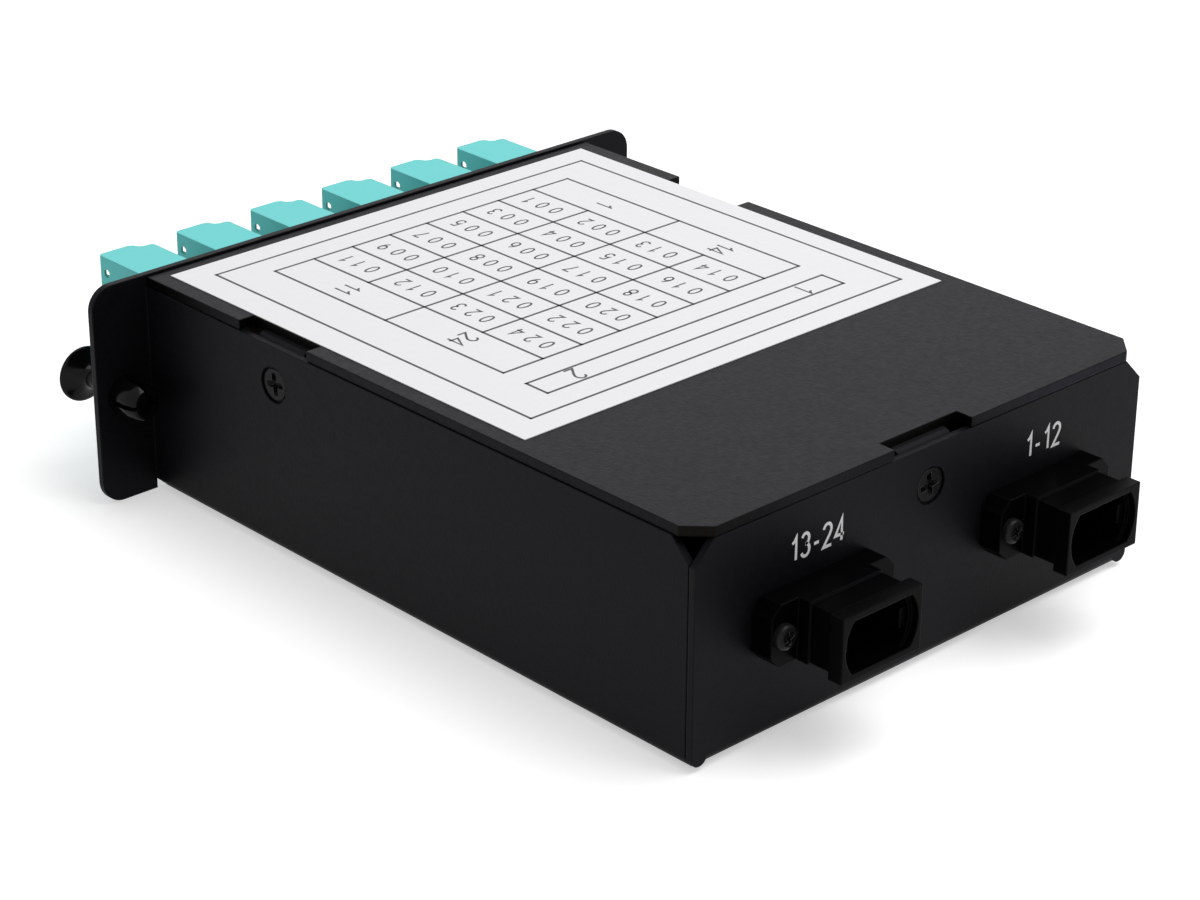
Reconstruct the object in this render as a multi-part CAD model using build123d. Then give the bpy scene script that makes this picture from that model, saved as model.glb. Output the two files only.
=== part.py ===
from build123d import *
import math
import os

# Fibre cassette: a folded sheet-steel tray with a screwed lid, six quad LC adapters in the face plate,
# two MPO adapters in the rear wall, a factory harness between them, and a push-pull latch in each ear.
# Millimetres. +X is across, +Y runs from the face plate to the rear wall, +Z is up through the lid.
# The origin is the middle of the tray's underside.

# ---- driving dimensions ------------------------------------------------------------------------
body_width = 91.8
body_depth = 120.8
ear_width = 10.1
plate_rise = 0.35
ear_drop = 0.6
ear_corner_radius = 3.8
tray_sheet = 1.1
lid_sheet = 1.5
bend_radius = 1.5
lid_gap = 0.15
lid_front_gap = 0.26
lid_side_inset = 0.15

corner_cut = 3.4
seam_width = 0.2
relief_width = 1.0
relief_depth = 1.9
relief_height = 0.85
foot_radius = 1.4
foot_width = 2.9

tab_sheet = 1.0
tab_flange = 5.0
tab_width = 10.8
tab_relief = 2.6
tab_wall_clearance = 0.1
tab_bend_radius = 1.7
tab_below_screw = 5.65
tab_corner = 1.5
side_screw_from_front = 32.4
cover_screw_drop = 7.9

screw_head_radius = 2.5
screw_sink = 0.25
screw_ring_depth = 0.6
screw_ring_radius = 2.92
screw_shank_radius = 1.25
screw_shank_length = 5.0
screw_fit = 0.05
recess_width = 0.85
recess_span = 3.2
recess_depth = 0.45
screw_sides = 16
pan_head_sides = 12

label_side_margin = 3.05
label_from_front = 3.45
label_rear_margin = 36.25
label_thickness = 0.12

adapter_count = 6
adapter_side_margin = 1.2
adapter_width = 9.3
adapter_end_wall = 0.4
adapter_floor_gap = 6.55
adapter_lid_gap = 2.8
adapter_front = 17.4
adapter_rear = 18.4
adapter_step = 1.8
adapter_step_at = 6.2
adapter_collar = 0.7
adapter_collar_length = 1.4
adapter_chamfer = 0.5
cutout_clearance = 0.1

port_pitch = 6.25
port_count = 4
port_size = 4.7
port_wall = 1.0
port_depth = 15.0
port_floor = 5.8
latch_slot_width = 2.7
latch_slot_depth = 2.6
window_radius = 0.75
window_from_front = 2.2
window_rise = 0.9
window_wall = 0.35
window_pocket_length = 3.9

sleeve_radius = 1.45
sleeve_bore = 0.75
sleeve_reach = 6.5
sleeve_fit = 0.05

clip_sheet = 0.3
clip_length = 6.0
clip_barb = 1.3
clip_fit = 0.05

lc_body = 4.5
lc_body_length = 21.0
lc_nose_gap = 0.1
lc_ferrule_radius = 0.62
lc_lever_start = 9.0
lc_lever_length = 9.0
lc_lever_height = 1.5
lc_boot_length = 9.0
lc_boot_root = 3.2
lc_boot_tip = 1.8
fibre_diameter = 0.9
fibre_end_gap = 0.25
fibre_lead = 7.0
fibre_sides = 4

mpo_below_middle = 0.225
mpo_outward = 0.25
mpo_flange_width = 24.0
mpo_flange_height = 9.4
mpo_flange_depth = 3.8
mpo_flange_chamfer = 1.7
mpo_hole_spacing = 20.0
mpo_neck_width = 14.0
mpo_neck_end = 5.9
mpo_body_width = 13.6
mpo_body_height = 8.8
mpo_collar_width = 15.5
mpo_collar_height = 9.8
mpo_collar_start = 10.2
mpo_front = 12.6
mpo_opening_width = 13.0
mpo_opening_height = 8.0
mpo_opening_bulge = 1.5
mpo_cavity_depth = 10.0
mpo_mouth_width = 14.3
mpo_mouth_depth = 1.2
mpo_inner_length = 15.0
mpo_window_width = 7.0
mpo_window_height = 3.1
mpo_wall_clearance = 0.1
mpo_hook_thickness = 1.0
mpo_hook_height = 3.0
mpo_hook_setback = 1.6
mpo_hook_offset = 5.6

mpo_screw_radius = 1.0
mpo_screw_head_radius = 1.85
mpo_screw_head_height = 1.3
mpo_screw_fit = 0.12
mpo_nut_flats = 4.0
mpo_nut_thickness = 1.6
mpo_screw_tail = 0.8

mpo_plug_width = 12.4
mpo_plug_height = 7.6
mpo_plug_bulge = 1.5
mpo_plug_length = 20.0
mpo_plug_insertion = 11.0
mt_width = 6.4
mt_height = 2.5
mt_reach = 3.0
mpo_boot_length = 12.0
mpo_boot_root = 6.4
mpo_boot_tip = 4.2
trunk_diameter = 3.0
trunk_length = 7.0

furcation_length = 12.0
furcation_width = 9.0
furcation_height = 7.0
cradle_wall = 1.2
cradle_length = 8.0
cradle_base = 14.0
cradle_clearance = 0.1
fibre_grid_pitch = 1.5

latch_from_body = 5.1
latch_below_middle = 0.575
grommet_flange_radius = 4.4
grommet_flange_thickness = 1.2
grommet_barrel_radius = 3.0
grommet_bore_radius = 1.55
grommet_barrel_length = 4.2
grommet_tip_length = 1.6
grommet_tip_radius = 2.3
grommet_slot = 0.8
grommet_ring = 1.2
turned_sides = 20
grommet_hole_clearance = 0.1
plunger_travel = 6.0
plunger_fit = 0.05
plunger_rim_radius = 4.5
plunger_rim_thickness = 0.5
plunger_neck_radius = 1.9
plunger_neck_flare = 0.7
plunger_head_length = 2.9
plunger_dish = 1.1
pin_sides = 12

# ---- places worked out from the dimensions ------------------------------------------------------
y_front = -body_depth / 2
y_rear = body_depth / 2
half_width = body_width / 2
plate_width = body_width + 2 * ear_width
adapter_height = port_count * port_pitch + 2 * adapter_end_wall
adapter_centre_z = adapter_floor_gap + adapter_height / 2
adapter_pitch = (body_width - 2 * adapter_side_margin) / adapter_count
body_height = adapter_floor_gap + adapter_height + adapter_lid_gap
plate_top = body_height + plate_rise
cover_screw_height = body_height - cover_screw_drop
tab_bottom = cover_screw_height - tab_below_screw
label_width = body_width - 2 * label_side_margin
label_depth = body_depth - label_from_front - label_rear_margin
mpo_spacing = body_width / 2 + 2 * mpo_outward
mpo_centre_z = body_height / 2 - mpo_below_middle
latch_centre_x = body_width / 2 + latch_from_body
latch_centre_z = body_height / 2 - latch_below_middle
wall_top = body_height - lid_sheet - lid_gap
lid_bottom = body_height - lid_sheet
side_screw_y = y_front + side_screw_from_front
adapter_centres = [(adapter_count - 1) / 2 * adapter_pitch - i * adapter_pitch for i in range(adapter_count)]
port_heights = [adapter_centre_z + ((port_count - 1) / 2 - k) * port_pitch for k in range(port_count)]
mpo_centres = [mpo_spacing / 2, -mpo_spacing / 2]
port_bottom = y_front - adapter_front + port_depth
rear_port_bottom = port_bottom + port_floor
port_middle = (port_bottom + rear_port_bottom) / 2
adapter_back = y_front + adapter_rear
port_axis_offset = adapter_width / 2 - port_wall - port_size / 2


def block(x0, x1, y0, y1, z0, z1):
    """A box between two corners."""
    return Pos((x0 + x1) / 2, (y0 + y1) / 2, (z0 + z1) / 2) * Box(x1 - x0, y1 - y0, z1 - z0)


def rod(x, y0, y1, z, radius):
    """A round bar along Y."""
    return Pos(x, (y0 + y1) / 2, z) * Rot(90, 0, 0) * Cylinder(radius, y1 - y0)


def frustum(start_radius, end_radius, length, sides):
    """A regular cone with flat sides, along +Z from its start."""
    turns = [2 * math.pi * k / sides for k in range(sides)]
    start = [Vector(start_radius * math.cos(a), start_radius * math.sin(a), 0) for a in turns]
    end = [Vector(end_radius * math.cos(a), end_radius * math.sin(a), length) for a in turns]
    rings = [start, end]
    for k in range(sides):
        following = (k + 1) % sides
        rings.append([start[k], start[following], end[following], end[k]])
    return Solid(Shell([Face(Wire.make_polygon(ring)) for ring in rings]))


def bar(x, y0, y1, z, radius, sides=6):
    """A regular bar along Y with a few flats."""
    return Pos(x, y0, z) * Rot(-90, 0, 0) * frustum(radius, radius, y1 - y0, sides)


def tapered(x, y0, y1, z, size0, size1, sides=6):
    """A straight taper along Y between two regular sections."""
    return Pos(x, y0, z) * Rot(-90, 0, 0) * frustum(size0 / 2, size1 / 2, y1 - y0, sides)


def post(radius, low, high, sides=screw_sides):
    """An upright regular bar from one height to another."""
    return Pos(0, 0, low) * frustum(radius, radius, high - low, sides)


def sunk_head(low_radius, high_radius, low, high):
    """The cone of a flat screw head, wide end up."""
    return Pos(0, 0, low) * frustum(low_radius, high_radius, high - low, screw_sides)


def save(shape, name):
    export_step(shape, f"parts/{name}.step")


# ---- tray: one sheet folded into floor, side walls, rear wall and face plate ---------------------
def wall_screws():
    """Place and outward direction of each lid screw: left wall, right wall, rear wall."""
    return [
        (Location((half_width, side_screw_y, cover_screw_height), (0, 90, 0))),
        (Location((-half_width, side_screw_y, cover_screw_height), (0, -90, 0))),
        (Location((0, y_rear, cover_screw_height), (-90, 0, 0))),
    ]


def countersink(clearance):
    """The space of a sunk flat head, from the outer wall face inwards (local -Z)."""
    small = screw_shank_radius + clearance
    ring = post(screw_ring_radius, -screw_ring_depth, 1)
    cone = sunk_head(small, screw_head_radius + clearance, -tray_sheet, -screw_sink)
    return ring + cone + post(small, -screw_shank_length, -tray_sheet)


def make_tray():
    shell = block(-half_width, half_width, y_front, y_rear, 0, wall_top)
    shell = fillet(shell.faces().sort_by(Axis.Z)[0].edges(), bend_radius)
    plate = Pos(0, y_front + tray_sheet / 2, (plate_top - ear_drop) / 2) * Box(
        plate_width, tray_sheet, plate_top + ear_drop
    )
    plate = fillet(plate.edges().filter_by(Axis.Y), ear_corner_radius)
    plate -= block(-half_width, half_width, y_front - 1, y_front + 2 * tray_sheet, -ear_drop - 1, bend_radius)
    inside = block(
        -half_width + tray_sheet,
        half_width - tray_sheet,
        y_front + tray_sheet,
        y_rear - tray_sheet,
        tray_sheet,
        body_height + 1,
    )
    tray = shell + plate - inside

    for side in (1, -1):
        edge = side * half_width
        inner = side * (half_width - relief_width)
        low_x, high_x = min(edge, inner), max(edge, inner)
        relief_end = y_front + tray_sheet + relief_depth
        tray -= block(low_x, high_x, y_front - 1, relief_end, -ear_drop - 1, relief_height)

        # the rear wall laps over the end of the side wall and runs straight down to a rounded foot
        wall = side * (half_width - tray_sheet)
        foot = block(0, foot_width, y_rear - tray_sheet, y_rear, foot_radius / 10, 2 * bend_radius)
        foot = fillet(foot.edges().filter_by(Axis.Y).sort_by(Axis.Z)[:2], foot_radius)
        tray += Pos(edge - (foot_width if side > 0 else 0), 0, 0) * foot
        seam = block(
            min(wall, edge),
            max(wall, edge),
            y_rear - tray_sheet - seam_width,
            y_rear - tray_sheet,
            bend_radius,
            body_height,
        )
        tray -= seam

        # both walls are cropped at the top of each rear corner
        corner = Plane.YZ * Polyline(
            (y_rear - tray_sheet - corner_cut, wall_top + 1),
            (y_rear - tray_sheet - corner_cut, wall_top),
            (y_rear - tray_sheet, wall_top - corner_cut),
            (y_rear - tray_sheet, wall_top + 1),
            close=True,
        )
        crop = extrude(make_face(corner), 2 * tray_sheet, both=True)
        tray -= Pos(edge, 0, 0) * crop
        rear = Plane.XZ * Polyline(
            (side * (half_width - corner_cut), wall_top),
            (side * (half_width - corner_cut), wall_top + 1),
            (side * (half_width + 1), wall_top + 1),
            (side * (half_width + 1), wall_top - corner_cut),
            (side * half_width, wall_top - corner_cut),
            close=True,
        )
        tray -= Pos(0, y_rear, 0) * extrude(make_face(rear), tray_sheet, both=True)

        # hole for the latch grommet in each ear
        tray -= bar(
            side * latch_centre_x,
            y_front - 1,
            y_front + tray_sheet + 1,
            latch_centre_z,
            grommet_barrel_radius + grommet_hole_clearance,
            sides=turned_sides,
        )

    for x in adapter_centres:
        half_cut = adapter_width / 2 + cutout_clearance
        tray -= block(
            x - half_cut,
            x + half_cut,
            y_front - 1,
            y_front + tray_sheet + 1,
            adapter_centre_z - adapter_height / 2 - cutout_clearance,
            adapter_centre_z + adapter_height / 2 + cutout_clearance,
        )
    for x in mpo_centres:
        half_cut = mpo_body_width / 2 + mpo_wall_clearance
        tray -= block(
            x - half_cut,
            x + half_cut,
            y_rear - tray_sheet - 1,
            y_rear + 1,
            mpo_centre_z - mpo_body_height / 2 - mpo_wall_clearance,
            mpo_centre_z + mpo_body_height / 2 + mpo_wall_clearance,
        )
        for side in (1, -1):
            hole_x = x + side * mpo_hole_spacing / 2
            hole_radius = mpo_screw_radius + mpo_screw_fit
            tray -= bar(hole_x, y_rear - tray_sheet - 1, y_rear + 1, mpo_centre_z, hole_radius, sides=12)
    for place in wall_screws():
        tray -= place * countersink(screw_fit)
    return tray


# ---- lid: flat notched sheet with three angle brackets spot-welded under it, inside the walls --------------------------------------
def lid_tab():
    """One angle bracket in its own frame: outer face on local X = 0, lid's top at local Z = 0, Y across."""
    inner = tab_bend_radius - tab_sheet
    start = -tab_bend_radius
    back = start - tab_flange
    top = -lid_sheet
    bend = top - tab_bend_radius
    drop = body_height - tab_bottom
    profile = Plane.XZ * make_face(
        Curve()
        + Line((start, top), (back, top))
        + Line((back, top), (back, top - tab_sheet))
        + Line((back, top - tab_sheet), (start, top - tab_sheet))
        + RadiusArc((start, top - tab_sheet), (-tab_sheet, bend), inner)
        + Line((-tab_sheet, bend), (-tab_sheet, -drop))
        + Line((-tab_sheet, -drop), (0, -drop))
        + Line((0, -drop), (0, bend))
        + RadiusArc((0, bend), (start, top), -tab_bend_radius)
    )
    tab = extrude(profile, tab_width / 2, both=True)
    low_edges = tab.edges().filter_by(Axis.X).group_by(Axis.Z)[0]
    return chamfer(low_edges, tab_corner)


def make_lid():
    half_lid = half_width - lid_side_inset
    front = y_front + tray_sheet + lid_front_gap
    outline = Polyline(
        (-half_lid, front),
        (half_lid, front),
        (half_lid, y_rear - corner_cut),
        (half_lid - corner_cut, y_rear),
        (-half_lid + corner_cut, y_rear),
        (-half_lid, y_rear - corner_cut),
        close=True,
    )
    lid = Pos(0, 0, lid_bottom) * extrude(make_face(outline), lid_sheet)
    notch = tab_width / 2 + tab_relief
    tab_face = half_width - tray_sheet - tab_wall_clearance
    bend_line = tab_face - tab_bend_radius
    for side in (1, -1):
        low, high = sorted((side * bend_line, side * (half_width + 1)))
        lid -= block(low, high, side_screw_y - notch, side_screw_y + notch, lid_bottom - 1, body_height + 1)
        turn = 0 if side > 0 else 180
        lid += Pos(side * tab_face, side_screw_y, body_height) * Rot(0, 0, turn) * lid_tab()
    rear_face = y_rear - tray_sheet - tab_wall_clearance
    lid -= block(-notch, notch, rear_face - tab_bend_radius, y_rear + 1, lid_bottom - 1, body_height + 1)
    lid += Pos(0, rear_face, body_height) * Rot(0, 0, 90) * lid_tab()
    for place in wall_screws():
        lid -= place * post(screw_shank_radius + screw_fit, -screw_shank_length, 0, sides=8)
    return lid


def make_lid_screw():
    """Flat-head cross-recess screw, head up along local +Z, outer wall face at Z = 0."""
    head = sunk_head(screw_shank_radius, screw_head_radius, -tray_sheet, -screw_sink)
    shank = post(screw_shank_radius, -tray_sheet - screw_shank_length, -tray_sheet, sides=8)
    screw = head + shank
    for turn in (45, 135):
        screw -= Pos(0, 0, -screw_sink) * Rot(0, 0, turn) * Box(recess_span, recess_width, 2 * recess_depth)
    return screw


# ---- label: printed paper on the lid ----------------------------------------------------------------
def make_label():
    front = y_front + label_from_front
    return block(
        -label_width / 2,
        label_width / 2,
        front,
        front + label_depth,
        body_height,
        body_height + label_thickness,
    )


# ---- quad LC adapter: four ports one above another, latch side set back and facing -X ---------------
def adapter_profile():
    """Front half seen from above, local X from the centre line, local Y from the face plate."""
    left = adapter_width / 2
    step_x = left - adapter_step_at
    front = -adapter_front
    points = [
        (left, front),
        (step_x, front),
        (step_x - adapter_step / 2, front + adapter_step),
        (-left, front + adapter_step),
        (-left, 0),
        (left, 0),
    ]
    face = make_face(Polyline(*points, close=True))
    corners = face.vertices().filter_by(lambda v: v.Y < 0)
    return chamfer(corners, adapter_chamfer)


def make_adapter_front(x):
    """Front half: four ports, a latch slot beside each, and the collar that stops on the face plate."""
    low = adapter_centre_z - adapter_height / 2
    body = Pos(x, y_front, low) * extrude(adapter_profile(), adapter_height)
    body += block(
        x - adapter_width / 2 - adapter_collar,
        x + adapter_width / 2 + adapter_collar,
        y_front - adapter_collar_length,
        y_front,
        low - adapter_collar,
        low + adapter_height + adapter_collar,
    )
    port_x = x + port_axis_offset
    half = port_size / 2
    slot_end = port_x - half - latch_slot_depth
    mouth = y_front - adapter_front - 1
    for z in port_heights:
        body -= block(port_x - half, port_x + half, mouth, port_bottom, z - half, z + half)
        body -= block(slot_end, port_x, mouth, port_bottom, z - latch_slot_width / 2, z + latch_slot_width / 2)
        body -= bar(port_x, port_bottom - 1, y_front + 1, z, sleeve_radius + sleeve_fit)
        window_z = z + window_rise
        pocket_side = x + adapter_width / 2 - window_wall
        pocket_end = y_front - adapter_front + window_pocket_length
        body -= block(port_x, pocket_side, mouth, pocket_end, window_z - window_radius, z + half)
        window = Pos(port_x, y_front - adapter_front + window_from_front, window_z) * Rot(0, 90, 0)
        body -= window * extrude(RegularPolygon(window_radius, 6), adapter_width)
    return body


def make_adapter_rear(x):
    """Rear half, inside the tray: the same four ports facing backwards."""
    body = block(
        x - adapter_width / 2,
        x + adapter_width / 2,
        y_front,
        adapter_back,
        adapter_centre_z - adapter_height / 2,
        adapter_centre_z + adapter_height / 2,
    )
    port_x = x + port_axis_offset
    half = port_size / 2
    slot_end = port_x - half - latch_slot_depth
    for z in port_heights:
        body -= block(slot_end, port_x + half, rear_port_bottom, adapter_back + 1, z - half, z + half)
        body -= bar(port_x, y_front - 1, rear_port_bottom + 1, z, sleeve_radius + sleeve_fit)
    return body


def make_adapter_clip(x):
    """Spring-steel band round the adapter behind the face plate, with a barb on each wide side."""
    start = y_front + tray_sheet + clip_fit
    end = start + clip_length
    half_x = adapter_width / 2 + clip_fit
    half_z = adapter_height / 2 + clip_fit
    outer = block(
        x - half_x - clip_sheet,
        x + half_x + clip_sheet,
        start,
        end,
        adapter_centre_z - half_z - clip_sheet,
        adapter_centre_z + half_z + clip_sheet,
    )
    band = outer - block(
        x - half_x,
        x + half_x,
        start - 1,
        end + 1,
        adapter_centre_z - half_z,
        adapter_centre_z + half_z,
    )
    for side in (1, -1):
        root = x + side * half_x
        barb = Polyline(
            (root, end),
            (root + side * clip_sheet, end),
            (root + side * clip_barb, start + clip_sheet),
            (root + side * clip_barb, start),
            (root, end - clip_sheet),
            close=True,
        )
        barb_height = adapter_height / 4
        band += Pos(0, 0, adapter_centre_z - barb_height / 2) * extrude(make_face(barb), barb_height)
    return band


def make_sleeve(x, z):
    """Tube through the middle wall of a port that lines up the two ferrules."""
    start = port_bottom - sleeve_reach
    tube = bar(x, start, rear_port_bottom, z, sleeve_radius)
    return tube - bar(x, start - 1, rear_port_bottom + 1, z, sleeve_bore)


# ---- LC plugs of the harness, in the rear half of each adapter ---------------------------------------
lc_nose = rear_port_bottom + lc_nose_gap
lc_back = lc_nose + lc_body_length
boot_end = lc_back + lc_boot_length


def make_lc_plug(x, z):
    half = lc_body / 2
    body = block(x - half, x + half, lc_nose, lc_back, z - half, z + half)
    body += bar(x, port_middle, lc_nose, z, lc_ferrule_radius)
    lever_start = lc_nose + lc_lever_start
    lever = Plane.XY * Polyline(
        (x - half, lever_start),
        (x - half - lc_lever_height, lever_start + lc_lever_length),
        (x - half - lc_lever_height, lever_start + lc_lever_length + 1),
        (x - half, lever_start + lc_lever_length + 1),
        close=True,
    )
    body += Pos(0, 0, z - half / 2) * extrude(make_face(lever), half)
    return body


def make_lc_boot(x, z):
    return tapered(x, lc_back, boot_end, z, lc_boot_root, lc_boot_tip, sides=4)


# ---- MPO adapter: flanged outer half screwed to the rear wall, inner half inside the tray --------------
def barrel_face(width, height, bulge):
    """A slot shape: flat top and bottom, slightly rounded ends."""
    half_w = width / 2 - bulge
    half_h = height / 2
    outline = (
        Line((half_w, half_h), (-half_w, half_h))
        + ThreePointArc((-half_w, half_h), (-half_w - bulge, 0), (-half_w, -half_h))
        + Line((-half_w, -half_h), (half_w, -half_h))
        + ThreePointArc((half_w, -half_h), (half_w + bulge, 0), (half_w, half_h))
    )
    return make_face(outline)


def along_y(face, x, y0, y1, z):
    """A face drawn in X and Z, extruded from y0 to y1."""
    return Pos(x, y1, z) * extrude(Plane.XZ * face, y1 - y0)


def make_mpo_outer(x):
    def slab(width, height, start, end):
        return block(
            x - width / 2,
            x + width / 2,
            y_rear + start,
            y_rear + end,
            mpo_centre_z - height / 2,
            mpo_centre_z + height / 2,
        )

    flange = slab(mpo_flange_width, mpo_flange_height, 0, mpo_flange_depth)
    flange = chamfer(flange.edges().filter_by(Axis.Y), mpo_flange_chamfer)
    body = flange + slab(mpo_neck_width, mpo_flange_height, mpo_flange_depth, mpo_neck_end)
    body += slab(mpo_body_width, mpo_body_height, mpo_neck_end, mpo_collar_start)
    body += slab(mpo_collar_width, mpo_collar_height, mpo_collar_start, mpo_front)
    opening = barrel_face(mpo_opening_width, mpo_opening_height, mpo_opening_bulge)
    cavity_floor = y_rear + mpo_front - mpo_cavity_depth
    body -= along_y(opening, x, cavity_floor, y_rear + mpo_front + 1, mpo_centre_z)
    mouth = barrel_face(mpo_mouth_width, mpo_opening_height, mpo_opening_bulge)
    mouth_floor = y_rear + mpo_front - mpo_mouth_depth
    body -= along_y(mouth, x, mouth_floor, y_rear + mpo_front + 1, mpo_centre_z)
    body -= slab(mpo_window_width, mpo_window_height, -1, mpo_front)
    for side in (1, -1):
        hook_x = x + side * mpo_hook_offset
        body += block(
            hook_x - mpo_hook_thickness / 2,
            hook_x + mpo_hook_thickness / 2,
            cavity_floor - mpo_hook_thickness,
            y_rear + mpo_front - mpo_hook_setback,
            mpo_centre_z - mpo_hook_height / 2,
            mpo_centre_z + mpo_hook_height / 2,
        )
        hole_x = x + side * mpo_hole_spacing / 2
        hole_end = y_rear + mpo_flange_depth + 1
        body -= bar(hole_x, y_rear - 1, hole_end, mpo_centre_z, mpo_screw_radius + mpo_screw_fit, sides=12)
    return body


def make_mpo_inner(x):
    back = y_rear - mpo_inner_length
    body = block(
        x - mpo_body_width / 2,
        x + mpo_body_width / 2,
        back,
        y_rear,
        mpo_centre_z - mpo_body_height / 2,
        mpo_centre_z + mpo_body_height / 2,
    )
    opening = barrel_face(mpo_plug_width + 2 * mpo_wall_clearance, mpo_opening_height, mpo_opening_bulge)
    plug_nose = back + mpo_plug_insertion + mpo_wall_clearance
    body -= along_y(opening, x, back - 1, plug_nose, mpo_centre_z)
    body -= block(
        x - mpo_window_width / 2,
        x + mpo_window_width / 2,
        back,
        y_rear + 1,
        mpo_centre_z - mpo_window_height / 2,
        mpo_centre_z + mpo_window_height / 2,
    )
    return body


def make_mpo_screw(x):
    """Pan-head screw through the flange and the rear wall."""
    head_seat = y_rear + mpo_flange_depth
    shank_end = y_rear - tray_sheet - mpo_nut_thickness - mpo_screw_tail
    head_top = head_seat + mpo_screw_head_height
    head = bar(x, head_seat, head_top, mpo_centre_z, mpo_screw_head_radius, sides=pan_head_sides)
    head = chamfer(head.faces().sort_by(Axis.Y)[-1].edges(), mpo_screw_head_height / 3)
    screw = head + bar(x, shank_end, head_seat, mpo_centre_z, mpo_screw_radius, sides=8)
    for turn in (0, 90):
        slot = Pos(x, head_seat + mpo_screw_head_height, mpo_centre_z) * Rot(0, turn, 0)
        screw -= slot * Box(1.3 * mpo_screw_head_radius, mpo_screw_head_height, mpo_screw_head_radius / 4)
    return screw


def make_mpo_nut(x):
    seat = y_rear - tray_sheet
    radius = mpo_nut_flats / math.sqrt(3)
    nut = bar(x, seat - mpo_nut_thickness, seat, mpo_centre_z, radius, sides=6)
    hole_radius = mpo_screw_radius + screw_fit
    return nut - bar(x, seat - 2 * mpo_nut_thickness, seat + 1, mpo_centre_z, hole_radius, sides=8)


# ---- MPO plug of the harness, its boot and the short trunk to the furcation block ----------------------
mpo_plug_nose = y_rear - mpo_inner_length + mpo_plug_insertion
mpo_plug_back = mpo_plug_nose - mpo_plug_length
mpo_boot_end = mpo_plug_back - mpo_boot_length
furcation_back = mpo_boot_end - trunk_length
furcation_front = furcation_back - furcation_length


def make_mpo_plug(x):
    section = barrel_face(mpo_plug_width, mpo_plug_height, mpo_plug_bulge)
    plug = along_y(section, x, mpo_plug_back, mpo_plug_nose, mpo_centre_z)
    plug += block(
        x - mt_width / 2,
        x + mt_width / 2,
        mpo_plug_nose,
        mpo_plug_nose + mt_reach,
        mpo_centre_z - mt_height / 2,
        mpo_centre_z + mt_height / 2,
    )
    return plug


def make_mpo_boot(x):
    boot = tapered(0, 0, mpo_boot_length, 0, mpo_boot_root, mpo_boot_tip)
    return Pos(x, mpo_plug_back, mpo_centre_z) * Rot(0, 0, 180) * boot


def make_trunk(x):
    return bar(x, furcation_back, mpo_boot_end, mpo_centre_z, trunk_diameter / 2, sides=12)


def make_furcation(x):
    return block(
        x - furcation_width / 2,
        x + furcation_width / 2,
        furcation_front,
        furcation_back,
        mpo_centre_z - furcation_height / 2,
        mpo_centre_z + furcation_height / 2,
    )


def make_cradle(x):
    """Moulded bracket stuck to the floor that grips the furcation block."""
    middle = (furcation_front + furcation_back) / 2
    y0, y1 = middle - cradle_length / 2, middle + cradle_length / 2
    inner = furcation_width / 2 + cradle_clearance
    seat = mpo_centre_z - furcation_height / 2 - cradle_clearance
    top = mpo_centre_z + furcation_height / 4
    cradle = block(x - cradle_base / 2, x + cradle_base / 2, y0, y1, tray_sheet, tray_sheet + cradle_wall)
    cradle += block(x - inner - cradle_wall, x + inner + cradle_wall, y0, y1, seat - cradle_wall, seat)
    cradle += block(x - cradle_wall, x + cradle_wall, y0, y1, tray_sheet, seat)
    for side in (1, -1):
        low, high = sorted((x + side * inner, x + side * (inner + cradle_wall)))
        cradle += block(low, high, y0, y1, seat - cradle_wall, top)
    return cradle


def make_fibre(plug_x, plug_z, block_x, row, column):
    """One buffered fibre: straight out of its boot, across the tray, straight into the furcation block."""
    end_x = block_x + (1 - column) * 2 * fibre_grid_pitch
    end_z = mpo_centre_z + ((port_count - 1) / 2 - row) * fibre_grid_pitch
    start_y = boot_end + fibre_end_gap
    end_y = furcation_front - fibre_end_gap
    route = Polyline(
        (plug_x, start_y, plug_z),
        (plug_x, boot_end + fibre_lead, plug_z),
        (end_x, furcation_front - fibre_lead, end_z),
        (end_x, end_y, end_z),
    )
    section = Pos(plug_x, start_y, plug_z) * Rot(90, 0, 0) * RegularPolygon(fibre_diameter / 2, fibre_sides)
    return sweep(section, route, transition=Transition.RIGHT)


# ---- latch: split grommet in the ear and a push-pull plunger --------------------------------------------
def make_grommet(x):
    flange_front = y_front - grommet_flange_thickness
    flange = bar(x, flange_front, y_front, latch_centre_z, grommet_flange_radius, sides=turned_sides)
    flange = chamfer(flange.faces().sort_by(Axis.Y)[0].edges(), grommet_flange_thickness / 3)
    barrel_end = y_front + tray_sheet + grommet_barrel_length
    barrel = rod(x, y_front, barrel_end, latch_centre_z, grommet_barrel_radius)
    tip_end = barrel_end + grommet_tip_length
    tip = tapered(
        x, barrel_end, tip_end, latch_centre_z, 2 * grommet_barrel_radius, 2 * grommet_tip_radius, turned_sides
    )
    grommet = flange + barrel + tip
    slot_start = y_front + tray_sheet + grommet_ring
    for wide, tall in ((grommet_barrel_radius + 1, grommet_slot / 2), (grommet_slot / 2, grommet_barrel_radius + 1)):
        grommet -= block(x - wide, x + wide, slot_start, tip_end + 1, latch_centre_z - tall, latch_centre_z + tall)
    return grommet - bar(x, flange_front - 1, tip_end + 1, latch_centre_z, grommet_bore_radius, sides=pin_sides)


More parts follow.
